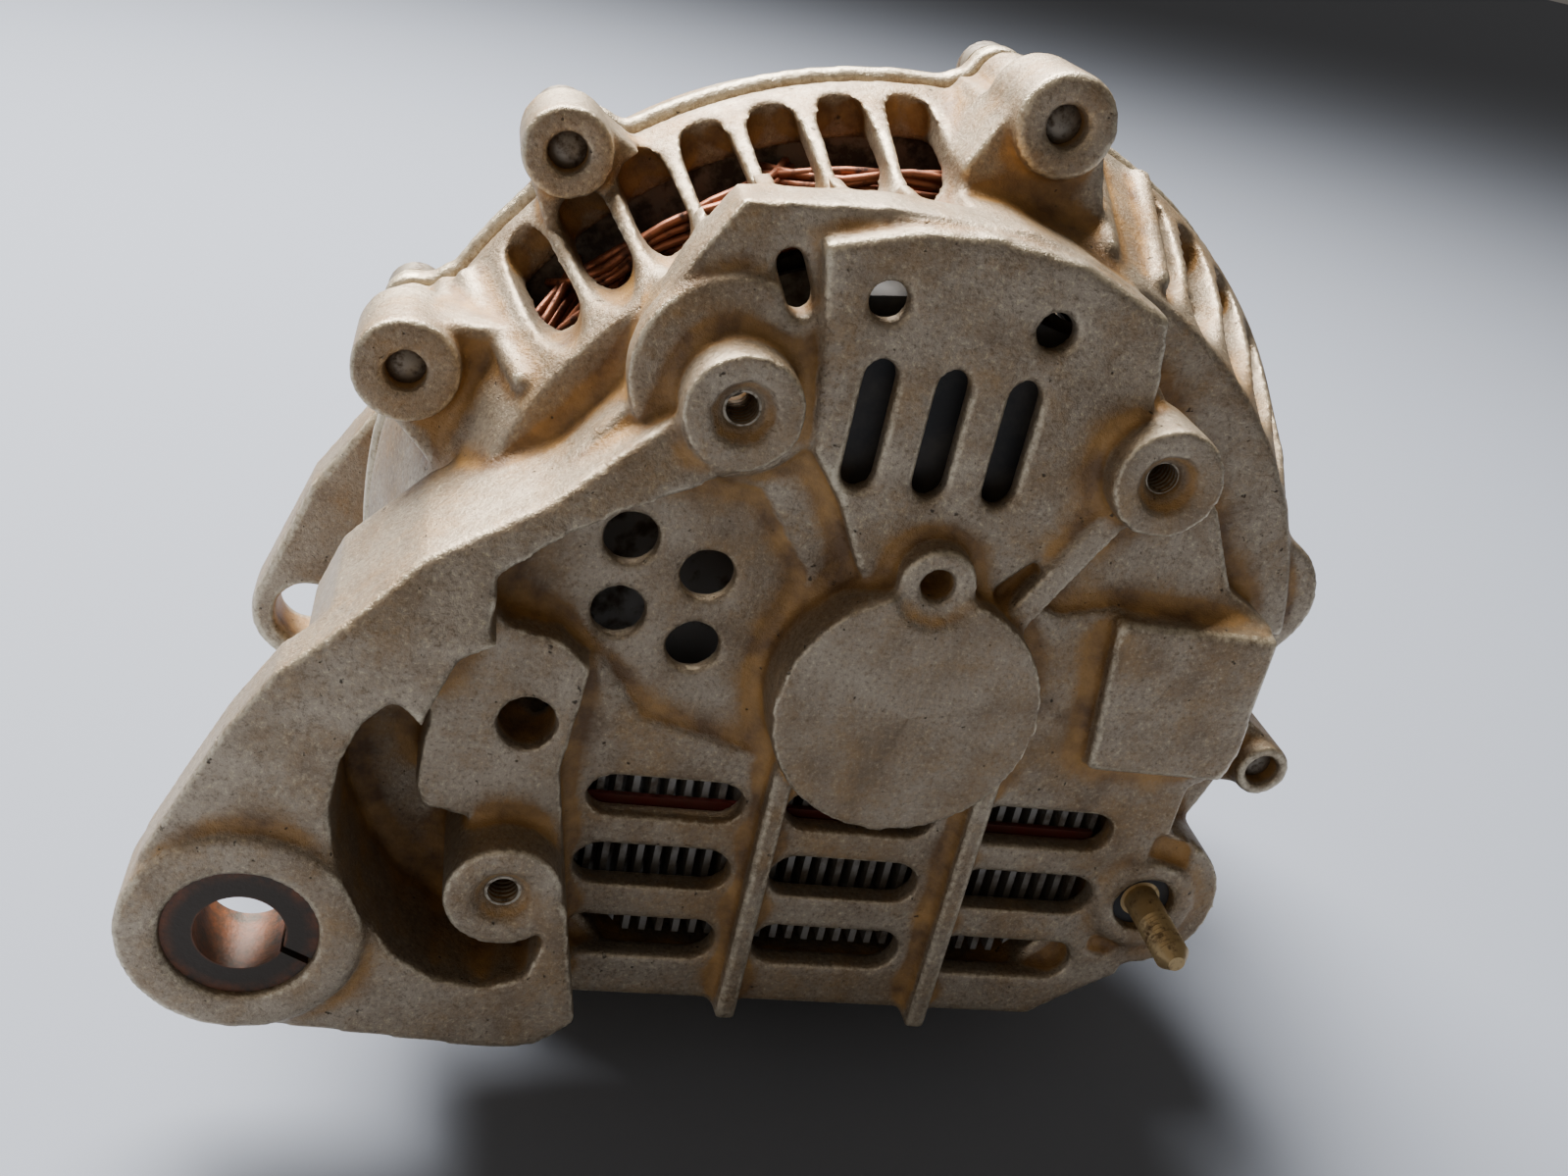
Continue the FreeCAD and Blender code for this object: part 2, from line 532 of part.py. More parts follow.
def make_stator():
    core = piece("stator_core")
    turned(core, [("stator_bore", "stator_start"), ("stator_radius", "stator_start"),
                  ("stator_radius", "stator_end"), ("stator_bore", "stator_end")])
    wire_slot = pocket(core, "stator_start - 1", "stator_end + 1", polygon(
        (-1.3, "stator_bore - 1"), (1.3, "stator_bore - 1"),
        (2.0, "slot_root_radius"), (-2.0, "slot_root_radius")))
    repeat_round(core, [wire_slot], 36, 360)
    for name, start, end, lean in (("stator_coil_rear", "coil_rear_start", "stator_start - 0.2", 1),
                                   ("stator_coil_front", "coil_front_end", "stator_end + 0.2", -1)):
        coil = piece(name)
        turned(coil, [("coil_inner + 2", start), ("coil_outer - 3", start),
                      ("coil_outer", "%s + %d" % (start, 4 * lean)), ("coil_outer", end),
                      ("coil_inner", end), ("coil_inner", "%s + %d" % (start, 3 * lean))])


def make_through_bolts():
    """Five bolts in one node: hex head on the front ear, thread end in the rear ear."""
    bolts = []
    for name, (radius, degrees, face, size) in EARS.items():
        x, z = polar(radius, degrees)
        start = face + 0.4
        shank = doc.addObject("Part::Cylinder", "shank_" + name)
        shank.setExpression("Radius", bound("bolt_radius"))
        shank.setExpression("Height", bound("bolt_seat") + " - %g" % start)
        head = doc.addObject("Part::Prism", "head_" + name)
        head.Polygon = 6
        head.setExpression("Circumradius", bound("bolt_head_radius"))
        head.setExpression("Height", bound("bolt_head_height"))
        along = FreeCAD.Rotation(FreeCAD.Vector(1, 0, 0), -90)
        shank.Placement = FreeCAD.Placement(FreeCAD.Vector(x, start, z), along)
        head.Placement = FreeCAD.Placement(FreeCAD.Vector(x, value("bolt_seat"), z), along)
        whole = doc.addObject("Part::Fuse", "bolt_" + name)
        whole.Base = shank
        whole.Tool = head
        bolts.append(whole)
    group("through_bolts", bolts)


def group(name, members):
    """Several separate solids of one kind, kept in one node."""
    compound = doc.addObject("Part::Compound", name)
    compound.Label = name
    compound.Links = members
    nodes.append(compound)
    return compound


def rod(name, radius, start, end, x=0.0, z=0.0):
    """A cylinder along +Y between two depths."""
    cylinder = doc.addObject("Part::Cylinder", name)
    cylinder.setExpression("Radius", bound(radius))
    cylinder.setExpression("Height", "(%s) - (%s)" % (bound(end), bound(start)))
    along = FreeCAD.Rotation(FreeCAD.Vector(1, 0, 0), -90)
    cylinder.Placement = FreeCAD.Placement(FreeCAD.Vector(x, value(start), z), along)
    return cylinder


# ---------------------------------------------------------------- rotor
def make_claw_pole(name, back, reach, phase):
    """Disc with half of the core and six fingers; back is its outer face, reach its way in."""
    body = piece(name)
    disc_end = "%s + %d * pole_disc" % (back, reach)
    turned(body, [("shaft_radius", back), ("pole_radius - 10", back), ("pole_radius - 10", disc_end),
                  ("core_radius", disc_end), ("core_radius", "rotor_middle"),
                  ("shaft_radius", "rotor_middle")])
    tip = "%s + %d * 33" % (back, reach)
    ends = (back, disc_end) if reach > 0 else (disc_end, back)
    root = pad(body, ends[0], ends[1], polygon(
        (-11.5, 28), (11.5, 28), (10.2, 45.2), (-10.2, 45.2)))
    ends = (disc_end, tip) if reach > 0 else (tip, disc_end)
    finger = pad(body, ends[0], ends[1], polygon(
        (-8.4, 37.5), (8.4, 37.5), (8.0, 45.5), (-8.0, 45.5)))
    repeat_round(body, [root, finger], 6, 360)
    body.Placement = FreeCAD.Placement(
        FreeCAD.Vector(0, 0, 0), FreeCAD.Rotation(FreeCAD.Vector(0, 1, 0), phase))


def make_fan(name, plate_start, blade_start):
    """Stamped plate with curved-back blades standing on one side."""
    body = piece(name)
    turned(body, [("shaft_radius + 6", plate_start), ("fan_radius", plate_start),
                  ("fan_radius", "%s + fan_plate" % plate_start),
                  ("shaft_radius + 6", "%s + fan_plate" % plate_start)])
    blade = pad(body, blade_start, "%s + fan_blade + 0.2" % blade_start, polygon(
        (-1.0, 36.2), (0.4, 36.2), (5.2, 43.6), (3.8, 43.8)))
    repeat_round(body, [blade], 10, 360)


def make_rotor():
    shaft = piece("rotor_shaft")
    turned(shaft, [(0, "shaft_start"), ("shaft_rear_radius", "shaft_start"),
                   ("shaft_rear_radius", "rear_bearing_start + rear_bearing_width"),
                   ("shaft_ring_radius", "rear_bearing_start + rear_bearing_width"),
                   ("shaft_ring_radius", 37), ("shaft_radius", 37),
                   ("shaft_radius", "pulley_end"), ("thread_radius", "pulley_end"),
                   ("thread_radius", "shaft_end - 1"), ("thread_radius - 1", "shaft_end"),
                   (0, "shaft_end")])
    ring("slip_ring_sleeve", "shaft_ring_radius", "slip_ring_sleeve", 20.4, 36.2)
    for name, start in (("slip_ring_rear", "slip_ring_a_start"),
                        ("slip_ring_front", "slip_ring_b_start")):
        ring(name, "slip_ring_sleeve", "slip_ring_radius", start, start + " + slip_ring_width")
    make_claw_pole("claw_pole_rear", "pole_rear_start", 1, 0)
    make_claw_pole("claw_pole_front", "pole_front_end", -1, 30)
    bobbin = piece("field_bobbin")
    turned(bobbin, [("core_radius", 51.4), (36.6, 51.4), (36.6, 52.6), ("core_radius + 1.6", 52.6),
                    ("core_radius + 1.6", 61.4), (36.6, 61.4), (36.6, 62.6), ("core_radius", 62.6)])
    ring("field_coil", "core_radius + 1.6", 35.6, 52.6, 61.4)
    make_fan("rear_fan", "pole_rear_start - fan_plate", "pole_rear_start - fan_plate - fan_blade")
    make_fan("front_fan", "pole_front_end", "pole_front_end + fan_plate - 0.2")
    ring("pulley_spacer", "shaft_radius", 11.4, "front_wall_inside + front_bearing_width",
         "pulley_start")
    pulley = piece("pulley")
    profile = [("shaft_radius", "pulley_start"), (14, "pulley_start"), (14, 112), (26, 112),
               (26, "pulley_start + 1.5"), ("pulley_radius", "pulley_start + 1.5")]
    groove_start = value("pulley_start") + 3.0
    for index in range(5):
        crest = groove_start + index * value("rib_pitch")
        profile.append(("pulley_radius", crest))
        profile.append(("pulley_root_radius", crest + 0.5 * value("rib_pitch")))
    profile += [("pulley_radius", groove_start + 5 * value("rib_pitch")),
                ("pulley_radius", "pulley_end - 1"), (25, "pulley_end - 1"), (25, 118),
                (14, 118), (14, "pulley_end"), ("shaft_radius", "pulley_end")]
    turned(pulley, profile)
    ring("pulley_washer", "thread_radius", 12.5, "pulley_end", "pulley_end + 1.5")
    nut = piece("pulley_nut")
    hexagon = [polar(13.2, 60 * corner) for corner in range(6)]
    pad(nut, "pulley_end + 1.5", "pulley_end + 10.5", polygon(*hexagon))
    pocket(nut, "pulley_end + 1", "pulley_end + 11", circles((0, 0, "thread_radius")))


# ---------------------------------------------------------------- bearings
def make_bearing(prefix, start, width, inner, inner_top, outer_bottom, outer, ball, count):
    """Two races as rings, and a set of balls held apart by a bored cage ring."""
    end = "%s + %s" % (start, width)
    ring(prefix + "_bearing_outer_race", outer_bottom, outer, start, end)
    ring(prefix + "_bearing_inner_race", inner, inner_top, start, end)
    pitch = 0.5 * (value(inner_top) + value(outer_bottom))
    middle = value(start) + 0.5 * value(width)
    balls = []
    pockets = []
    for index in range(count):
        x, z = polar(pitch, 360.0 * (index + 0.5) / count)
        sphere = doc.addObject("Part::Sphere", prefix + "_ball")
        sphere.Radius = ball
        sphere.Placement.Base = FreeCAD.Vector(x, middle, z)
        balls.append(sphere)
        bore = doc.addObject("Part::Cylinder", prefix + "_cage_hole")
        bore.Radius = ball + 0.12
        bore.Height = 2 * pitch
        outwards = FreeCAD.Vector(x, 0, z)
        bore.Placement = FreeCAD.Placement(
            FreeCAD.Vector(0, middle, 0), FreeCAD.Rotation(FreeCAD.Vector(0, 0, 1), outwards))
        pockets.append(bore)
    group(prefix + "_bearing_balls", balls)
    cage = doc.addObject("Part::Feature", prefix + "_cage_ring")
    hoop = Part.makeCylinder(pitch + 0.5 * ball, 2.9 * ball, FreeCAD.Vector(0, 0, 0),
                             FreeCAD.Vector(0, 1, 0))
    hole = Part.makeCylinder(pitch - 0.5 * ball, 2.9 * ball, FreeCAD.Vector(0, 0, 0),
                             FreeCAD.Vector(0, 1, 0))
    cage.Shape = hoop.cut(hole)
    cage.Placement.Base = FreeCAD.Vector(0, middle - 1.45 * ball, 0)
    holes = doc.addObject("Part::Compound", prefix + "_cage_holes")
    holes.Links = pockets
    cut = doc.addObject("Part::Cut", prefix + "_bearing_cage")
    cut.Label = prefix + "_bearing_cage"
    cut.Base = cage
    cut.Tool = holes
    nodes.append(cut)


# ---------------------------------------------------------------- brushes and regulator
def box_at(name, x, y, z):
    """A block from its (low, high) spans along X, Y and Z."""
    block = doc.addObject("Part::Box", name)
    for prop, span in (("Length", x), ("Width", y), ("Height", z)):
        block.setExpression(prop, "(%s) - (%s)" % (bound(span[1]), bound(span[0])))
    block.Placement.Base = FreeCAD.Vector(value(x[0]), value(y[0]), value(z[0]))
    return block


def make_brush_gear():
    outer = box_at("holder_block", (-6.0, 6.0), (20.4, 36.4), (10.5, "holder_top"))
    channels = []
    for letter in ("a", "b"):
        middle = "brush_%s_middle" % letter
        half_x = "0.5 * brush_width + channel_slack"
        half_y = "0.5 * brush_depth + channel_slack"
        channels.append(box_at(
            "channel_" + letter, ("-(%s)" % half_x, half_x),
            ("%s - (%s)" % (middle, half_y), "%s + (%s)" % (middle, half_y)),
            (9.0, "spring_top")))
        low = "slip_ring_radius + brush_gap"
        brush = box_at(
            "brush_" + letter, ("-0.5 * brush_width", "0.5 * brush_width"),
            (middle + " - 0.5 * brush_depth", middle + " + 0.5 * brush_depth"),
            (low, low + " + brush_length"))
        brush.Label = "brush_" + letter
        nodes.append(brush)
        spring = doc.addObject("Part::Feature", "brush_spring_" + letter)
        spring.Label = "brush_spring_" + letter
        low_end = value(low + " + brush_length") + 0.45
        high_end = value("spring_top") - 0.45
        coil_radius = 1.55
        path = Part.makeHelix((high_end - low_end) / 5.0, high_end - low_end, coil_radius)
        wire_end = Part.makeCircle(0.32, FreeCAD.Vector(coil_radius, 0, 0),
                                   FreeCAD.Vector(0, 1, 0))
        spring.Shape = Part.Wire(path).makePipeShell([Part.Wire(wire_end)], True, True)
        spring.Placement.Base = FreeCAD.Vector(0, value(middle), low_end)
        nodes.append(spring)
    both = doc.addObject("Part::Compound", "channels")
    both.Links = channels
    holder = doc.addObject("Part::Cut", "brush_holder")
    holder.Label = "brush_holder"
    holder.Base = outer
    holder.Tool = both
    nodes.append(holder)
    regulator = piece("voltage_regulator")
    pad(regulator, 9.2, 18.6, polygon(
        (-15.5, 31.0), (-12.3, 25.6), (14.0, 25.6), (14.5, 46.0), (-2.0, 50.0), (-15.5, 48.0)))
    for x in (-7.7, 0.9):
        pocket(regulator, 9.2, 10.6, polygon((x - 1.2, 25.8), (x + 1.2, 25.8),
                                             (x + 1.2, 44.0), (x - 1.2, 44.0)))


# ---------------------------------------------------------------- rectifier
PLATE = [(-36, -19), (36, -19), (36, -35.5), (27, -44.8), (-27, -44.8), (-36, -35.5)]


def make_rectifier():
    positive = piece("positive_heat_sink")
    pad(positive, 12.6, 19.6, polygon(*PLATE))
    pitch = 2.3
    runs = 31
    first = -0.5 * pitch * (runs - 1)
    gaps = [box_gap(first + pitch * index) for index in range(runs)]
    pocket(positive, 12.0, 17.6, lambda sketch: draw_gaps(sketch, gaps))
    negative = piece("negative_heat_sink")
    pad(negative, 22.2, 24.6, polygon(*PLATE))
    board = piece("terminal_board")
    pad(board, 20.0, 21.8, polygon(*PLATE))
    strip = piece("insulating_strip")
    pad(strip, 11.7, 12.5, polygon((-35.5, -25.6), (35.5, -25.6), (35.5, -22.4), (-35.5, -22.4)))
    diodes = []
    for index in range(6):
        x, z = polar(35.0, 218 + 20.8 * index)
        diodes.append(rod("diode", "3.2", "24.6", "29.4", x, z))
    group("rectifier_diodes", diodes)


def box_gap(x):
    return [(x - 0.7, -46.0), (x + 0.7, -46.0), (x + 0.7, -18.0), (x - 0.7, -18.0)]


def draw_gaps(sketch, gaps):
    for gap in gaps:
        draw_polygon(sketch, gap)


# ---------------------------------------------------------------- terminals and small parts
def make_terminals():
    stud = piece("b_terminal_stud")
    turned(stud, [(0, "stud_tip"), (1.1, "stud_tip"), ("stud_radius", "stud_tip + 2"),
                  ("stud_radius", "stud_shoulder"), ("stud_shank_radius", "stud_shoulder"),
                  ("stud_shank_radius", 27.0), (0, 27.0)])
    stud.Placement.Base = FreeCAD.Vector(value("stud_x"), 0, value("stud_z"))
    insulator = piece("b_terminal_insulator")
    turned(insulator, [("stud_shank_radius", "stud_shoulder"),
                       ("stud_hole_radius - 0.05", "stud_shoulder"),
                       ("stud_hole_radius - 0.05", 24.8), ("stud_shank_radius", 24.8)])
    insulator.Placement.Base = FreeCAD.Vector(value("stud_x"), 0, value("stud_z"))
    strap = piece("b_terminal_strap")
    pad(strap, 25.0, 26.0, slots(((26.0, "stud_z"), ("stud_x", "stud_z"), 3.4)))
    pocket(strap, 24.0, 27.0, circles(("stud_x", "stud_z", "stud_shank_radius")))
    connector = piece("connector_housing")
    pad(connector, 11.7, 19.2, polygon((30.0, 8.4), (49.5, 8.4), (49.5, -5.4), (30.0, -5.4)))
    pocket(connector, 12.6, 17.8, polygon((38.0, 7.0), (51.0, 7.0), (51.0, -4.0), (38.0, -4.0)))
    pins = []
    for z in (-1.6, 3.0):
        pins.append(box_at("pin", (38.0, 46.5), (14.8, 15.6), (z, z + 1.8)))
    group("connector_pins", pins)


def make_small_parts():
    bush = piece("pivot_bush")
    turned_bush = [("bush_bore_radius", "bush_start"), ("bush_radius", "bush_start"),
                   ("bush_radius", "bush_end"), ("bush_bore_radius", "bush_end")]
    turned(bush, turned_bush)
    pocket(bush, "bush_start - 1", "bush_end + 1", polygon(
        (0, 0), (9.6, -5.0), (9.6, -3.9), (0.6, 0.6)))
    bush.Placement.Base = FreeCAD.Vector(value("foot_x"), 0, value("foot_z"))
    retainer = ring("bearing_retainer", 12.6, 29.0, "front_wall_inside - 2", "front_wall_inside")
    screws = []
    for degrees in (45, 135, 225, 315):
        x, z = polar(26.4, degrees)
        pocket(retainer, "front_wall_inside - 3", "front_wall_inside + 1", circles((x, z, 1.7)))
        shank = rod("retainer_shank", "1.65", "front_wall_inside - 2.0",
                    "front_wall_inside + 8", x, z)
        head = rod("retainer_head", "3.0", "front_wall_inside - 3.9",
                   "front_wall_inside - 2.0", x, z)
        whole = doc.addObject("Part::Fuse", "retainer_screw")
        whole.Base = shank
        whole.Tool = head
        screws.append(whole)
    group("retainer_screws", screws)


make_front_bracket()
make_stator()
make_through_bolts()
make_rotor()
make_bearing("rear", "rear_bearing_start", "rear_bearing_width", "shaft_rear_radius", "6.3",
             "9.3", "rear_bearing_radius", 1.45, 9)
make_bearing("front", "front_bearing_start", "front_bearing_width", "shaft_radius", "12.0",
             "20.0", "front_bearing_radius", 3.95, 8)
make_brush_gear()
make_rectifier()
make_terminals()
make_small_parts()


# ---------------------------------------------------------------- write the nodes
def write_nodes():
    doc.recompute()
    for item in doc.Objects:
        state = [word for word in item.State if word in ("Invalid", "Error")]
        if state:
            raise RuntimeError("%s is %s" % (item.Label, state))
    os.makedirs("parts", exist_ok=True)
    for node in nodes:
        shape = node.Shape
        if shape.isNull() or not shape.isValid():
            raise RuntimeError("bad shape: " + node.Label)
        shape.exportStep("parts/%s.step" % node.Label)
        box = shape.BoundBox
        print("%-26s solids %d volume %9.1f  x %.1f..%.1f y %.1f..%.1f z %.1f..%.1f" % (
            node.Label, len(shape.Solids), shape.Volume,
            box.XMin, box.XMax, box.YMin, box.YMax, box.ZMin, box.ZMax))


write_nodes()
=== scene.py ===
# %% [markdown]
# # A used car alternator
#
# The alternator stands on its drum with the rear bracket towards us: a silver die casting with a
# pivot foot, cooling windows and a slotted cover over the rectifier. The frame holds every part at
# its real size, in metres. This lesson gives each part the surface that years under a bonnet gave
# it, and remakes by mesh work what a plain solid can't show, such as cast fillets and wound wire.

# %% Load the frame
import bmesh
import bpy
import math
import random
import numpy
from mathutils import Euler, Matrix, Vector


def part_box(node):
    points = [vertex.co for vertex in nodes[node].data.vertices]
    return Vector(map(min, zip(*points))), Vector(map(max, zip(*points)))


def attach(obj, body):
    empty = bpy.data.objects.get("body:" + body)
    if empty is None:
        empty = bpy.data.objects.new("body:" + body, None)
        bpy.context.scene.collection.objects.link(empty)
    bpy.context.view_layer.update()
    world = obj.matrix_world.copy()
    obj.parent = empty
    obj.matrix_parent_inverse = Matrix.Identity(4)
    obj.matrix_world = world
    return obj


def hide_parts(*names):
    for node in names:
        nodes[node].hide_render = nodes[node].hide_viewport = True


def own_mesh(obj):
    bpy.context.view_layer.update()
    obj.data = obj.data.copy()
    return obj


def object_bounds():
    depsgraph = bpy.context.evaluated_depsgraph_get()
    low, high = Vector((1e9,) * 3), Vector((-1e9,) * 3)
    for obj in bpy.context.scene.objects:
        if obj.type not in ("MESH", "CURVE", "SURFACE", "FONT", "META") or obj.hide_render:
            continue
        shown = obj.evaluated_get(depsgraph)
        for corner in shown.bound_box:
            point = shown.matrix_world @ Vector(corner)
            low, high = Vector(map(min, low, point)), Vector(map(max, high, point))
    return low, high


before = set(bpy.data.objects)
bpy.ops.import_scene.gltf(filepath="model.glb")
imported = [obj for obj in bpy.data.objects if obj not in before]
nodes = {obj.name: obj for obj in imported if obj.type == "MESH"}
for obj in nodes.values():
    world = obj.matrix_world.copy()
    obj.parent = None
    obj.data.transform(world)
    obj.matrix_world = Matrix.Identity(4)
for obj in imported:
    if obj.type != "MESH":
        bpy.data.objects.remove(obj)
cad_low, cad_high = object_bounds()
MM = 0.001

# %% [markdown]
# ## Camera
#
# A hand-held close shot: the camera stands a little left of the shaft line, looks down on the
# casting and is rolled over. Angles say that better than a matrix of numbers, so the camera is
# turned by three of them: round, down, and over about its own line of sight.

# %% Place the camera
CAMERA_PLACE = (-0.0611, -0.1552, 0.0927)
camera_data = bpy.data.cameras.new("camera")
camera_data.sensor_width = 36.0
camera_data.lens = 36.0
camera_data.clip_start = 0.01
camera = bpy.data.objects.new("camera", camera_data)
bpy.context.scene.collection.objects.link(camera)
camera.location = CAMERA_PLACE
LOOK_RIGHT = math.radians(15.2)
LOOK_DOWN = math.radians(25.6)
ROLL = math.radians(13.2)
aim = Euler((math.pi / 2 - LOOK_DOWN, 0.0, -LOOK_RIGHT), "XYZ").to_matrix()
camera.rotation_euler = (aim @ Matrix.Rotation(ROLL, 3, "Z")).to_euler()
bpy.context.scene.camera = camera
print("camera", round(camera.location.length / MM), "mm from the boss face")

# %% [markdown]
# ## Floor and light
#
# Daylight falls from high up behind the part, so the walls that face up are almost white while the
# faces towards us lie in soft shade. One wide lamp behind, a weak one in front and a pale world do
# that. The floor is plain and touches the lowest point of the casting.

# %% Small helpers for materials
def linear(hex_code):
    """A colour given as sRGB hex, as the linear values that a shader works with."""
    channels = [int(hex_code[place:place + 2], 16) / 255 for place in (0, 2, 4)]
    return [(c / 12.92 if c <= 0.04045 else ((c + 0.055) / 1.055) ** 2.4) for c in channels] + [1.0]


def add(material, kind, inputs=None, **settings):
    """Adds one node. Each input is a number, a colour, or the output socket of another node."""
    node = material.node_tree.nodes.new(kind)
    for name, setting in settings.items():
        setattr(node, name, setting)
    for socket, source in (inputs or {}).items():
        if isinstance(source, bpy.types.NodeSocket):
            material.node_tree.links.new(source, node.inputs[socket])
        else:
            node.inputs[socket].default_value = source
    return node


def start_material(name, roughness, metallic, base="808080"):
    """A new material, its shader and the point that is shaded, in metres."""
    material = bpy.data.materials.new(name)
    material.use_nodes = True
    shader = material.node_tree.nodes["Principled BSDF"]
    shader.inputs["Base Color"].default_value = linear(base)
    shader.inputs["Roughness"].default_value = roughness
    shader.inputs["Metallic"].default_value = metallic
    point = add(material, "ShaderNodeTexCoord").outputs["Object"]
    return material, shader, point


def join(material, source, socket):
    """Links one socket to another."""
    material.node_tree.links.new(source, socket)


def per_mm(size):
    """The scale of a pattern whose grains are this many millimetres wide."""
    return 1.0 / (size * MM)


# %% [markdown]
# The floor is one wide square of matt cloth colour. The camera looks down so steeply that the far
# edge stays out of sight. The floor belongs to the stage and not to the alternator.

# %% Floor
FLOOR_HALF_WIDTH = 60.0
FLOOR_GAP = 0.1 * MM

floor_mesh = bpy.data.meshes.new("floor")
floor_shape = bmesh.new()
bmesh.ops.create_grid(floor_shape, x_segments=1, y_segments=1, size=FLOOR_HALF_WIDTH)
bmesh.ops.translate(floor_shape, verts=floor_shape.verts, vec=(0, 1.5, cad_low.z - FLOOR_GAP))
floor_shape.to_mesh(floor_mesh)
floor_shape.free()
floor = bpy.data.objects.new("floor", floor_mesh)
bpy.context.scene.collection.objects.link(floor)
floor_paint = start_material("pale_floor", 0.8, 0.0, "7F8693")[0]
floor_mesh.materials.append(floor_paint)

# %% [markdown]
# The lamps look at the part from a metre or so away. The one behind is the window, and the warm one
# in front keeps the shaded faces readable.

# %% Lights and world
def area_light(name, place, size, power, hex_code):
    """A square lamp that looks at the part."""
    lamp = bpy.data.lights.new(name, "AREA")
    lamp.size = size
    lamp.energy = power
    lamp.color = linear(hex_code)[:3]
    light = bpy.data.objects.new(name, lamp)
    light.location = place
    light.rotation_euler = (-Vector(place)).to_track_quat("-Z", "Y").to_euler()
    bpy.context.scene.collection.objects.link(light)


area_light("window", (-0.25, 0.5, 0.8), 0.7, 62.0, "FFFAF4")
area_light("room", (-0.6, -0.9, 0.5), 0.9, 1.3, "FFEBD4")
world = bpy.data.worlds.new("soft_room")
world.use_nodes = True
world.node_tree.nodes["Background"].inputs["Color"].default_value = linear("D2CBC2")
world.node_tree.nodes["Background"].inputs["Strength"].default_value = 0.19
bpy.context.scene.world = world
print(len(bpy.data.lights), "lamps")

# %% [markdown]
# ## Cast skins
#
# The brackets are pressure die castings in an aluminium and silicon alloy. A solid model has sharp
# inner corners, but a casting can't: molten metal needs a radius there. So each bracket is remeshed
# as one skin, and every point that lies in a tight hollow is moved outwards until the hollow is no
# tighter than the fillet. Corners that stand out are only softened a little, by a last smoothing.
# Ribs too small for the solid model are joined to it first, as rods with round ends, and the
# remesh melts them in.
#
# Grease and dust stay in the hollows and turn tan, while hands and tools keep the edges bright, and
# glints of light are painted on those edges as bright flecks.
# Three attributes on the mesh say where that is: "hollow" and "recess" for narrow and wide
# hollows, and "edge" for corners that stand out.

# %% Mesh helpers
FILLET = 2.1 * MM
SAME_POINT = 0.001 * MM
NEAR_ROUNDS, WIDE_ROUNDS = 6, 70
HOLLOW_FULL, EDGE_FULL, RECESS_FULL = 0.07, 0.2, 0.6


def new_piece(name, mesh, body="housing"):
    """A finished mesh as an object that rides on a body."""
    piece = bpy.data.objects.new(name, mesh)
    bpy.context.scene.collection.objects.link(piece)
    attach(piece, body)
    return piece


def settled(mesh, *modifiers):
    """A mesh with modifiers applied; each modifier is a kind and its settings."""
    piece = bpy.data.objects.new("workpiece", mesh)
    bpy.context.scene.collection.objects.link(piece)
    for kind, settings in modifiers:
        modifier = piece.modifiers.new(kind, kind)
        for name, setting in settings.items():
            setattr(modifier, name, setting)
    graph = bpy.context.evaluated_depsgraph_get()
    result = bpy.data.meshes.new_from_object(piece.evaluated_get(graph), depsgraph=graph)
    bpy.data.objects.remove(piece)
    return result


def read(elements, field, width):
    """One field of all points or edges, as rows of numbers."""
    kind = int if field == "vertices" else float
    values = numpy.empty(len(elements) * width, dtype=kind)
    elements.foreach_get(field, values)
    return values.reshape(-1, width)


def neighbour_mean(points, starts, ends, count):
    """The middle of the neighbours of every point."""
    size = len(points)
    columns = [numpy.bincount(starts, points[ends, axis], size)
               + numpy.bincount(ends, points[starts, axis], size) for axis in range(3)]
    return numpy.stack(columns, axis=1) / count


def links(mesh):
    """Both ends of every edge, and how many edges meet at every point."""
    starts, ends = read(mesh.edges, "vertices", 2).T
    size = len(mesh.vertices)
    count = numpy.bincount(starts, minlength=size) + numpy.bincount(ends, minlength=size)
    return starts, ends, count.clip(1).reshape(-1, 1)


def fill_corners(mesh, voxel, rounds=5, steps=6):
    """Moves points in tight hollows outwards until the hollows have the fillet radius."""
    starts, ends, count = links(mesh)
    points = read(mesh.vertices, "co", 3)
    tight = voxel * voxel / (4 * FILLET)
    for _ in range(rounds):
        normals = read(mesh.vertices, "normal", 3)
        for _ in range(steps):
            mean = neighbour_mean(points, starts, ends, count)
            depth = ((mean - points) * normals).sum(1)
            points = points + 0.5 * (depth - tight).clip(0).reshape(-1, 1) * normals
        mesh.vertices.foreach_set("co", points.ravel())
        mesh.update()


def mark_relief(mesh):
    """Stores how hollow or how proud each point is, at two widths, as a share of a depth in mm."""
    starts, ends, count = links(mesh)
    points = read(mesh.vertices, "co", 3)
    normals = read(mesh.vertices, "normal", 3)
    near = points
    for _ in range(NEAR_ROUNDS):
        near = 0.5 * near + 0.5 * neighbour_mean(near, starts, ends, count)
    wide = near
    for _ in range(WIDE_ROUNDS):
        wide = 0.5 * wide + 0.5 * neighbour_mean(wide, starts, ends, count)
    near_depth = ((near - points) * normals).sum(1) / MM
    wide_depth = ((wide - points) * normals).sum(1) / MM
    fields = {"hollow": near_depth / HOLLOW_FULL, "edge": -near_depth / EDGE_FULL,
              "recess": wide_depth / RECESS_FULL}
    for name, field in fields.items():
        attribute = mesh.attributes.new(name, "FLOAT", "POINT")
        attribute.data.foreach_set("value", field.clip(0, 1))


def on_drum(radius, degrees, depth):
    """A point at a radius, an angle from +X towards +Z, and a depth, all in mm."""
    turn = math.radians(degrees)
    return Vector((radius * math.cos(turn), depth, radius * math.sin(turn))) * MM


